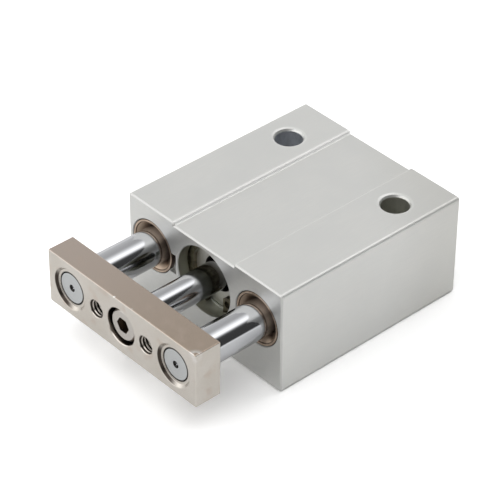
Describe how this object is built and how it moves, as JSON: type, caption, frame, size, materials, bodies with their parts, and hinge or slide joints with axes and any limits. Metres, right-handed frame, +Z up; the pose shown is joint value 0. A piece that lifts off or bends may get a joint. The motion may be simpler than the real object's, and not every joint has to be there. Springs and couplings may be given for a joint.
{
  "type": "guided pneumatic cylinder",
  "caption": "Miniature guided pneumatic cylinder: anodised block body, chromed piston rod between guide rods, and a nickel-plated front plate that slides in and out.",
  "frame": {"origin": "on the base of the body, midway between the two threaded mounting holes", "axes": "+X across the body, +Y from the front plate to the rear of the body along the stroke, +Z up from the base"},
  "size_m": [0.0292, 0.0447, 0.0153],
  "materials": {
    "anodised_aluminium": "clear anodised, satin",
    "turned_aluminium": "turned",
    "sintered_bronze": "oil-filled sintered bronze",
    "nitrile_rubber": "smooth",
    "bumper_rubber": "matt",
    "spring_steel": "oiled, phosphated",
    "nickel_plate": "electroless nickel, satin",
    "hard_chrome": "ground and hard chromed",
    "screw_steel": "nickel plated",
    "magnet_material": "sintered"
  },
  "bodies": {
    "cylinder_body": {"housing": "anodised_aluminium", "left_guide_bush": "sintered_bronze", "right_guide_bush": "sintered_bronze", "rod_cover": "turned_aluminium", "rod_seal": "nitrile_rubber", "rod_cover_o_ring": "nitrile_rubber", "front_snap_ring": "spring_steel", "front_bumper": "bumper_rubber", "rear_bumper": "bumper_rubber", "rear_cover": "turned_aluminium", "rear_cover_o_ring": "nitrile_rubber", "rear_snap_ring": "spring_steel"},
    "plate_and_rods": {"front_plate": "nickel_plate", "left_guide_rod": "hard_chrome", "right_guide_rod": "hard_chrome", "piston_rod": "hard_chrome", "piston": "turned_aluminium", "piston_seal": "nitrile_rubber", "magnet": "magnet_material", "piston_nut": "turned_aluminium", "plate_screw": "screw_steel"}
  },
  "joints": [
    {"name": "plate_stroke", "type": "slide", "parent": "cylinder_body", "child": "plate_and_rods", "axis": [0, -1, 0], "range_m": [-0.00655, 0.00345]}
  ]
}
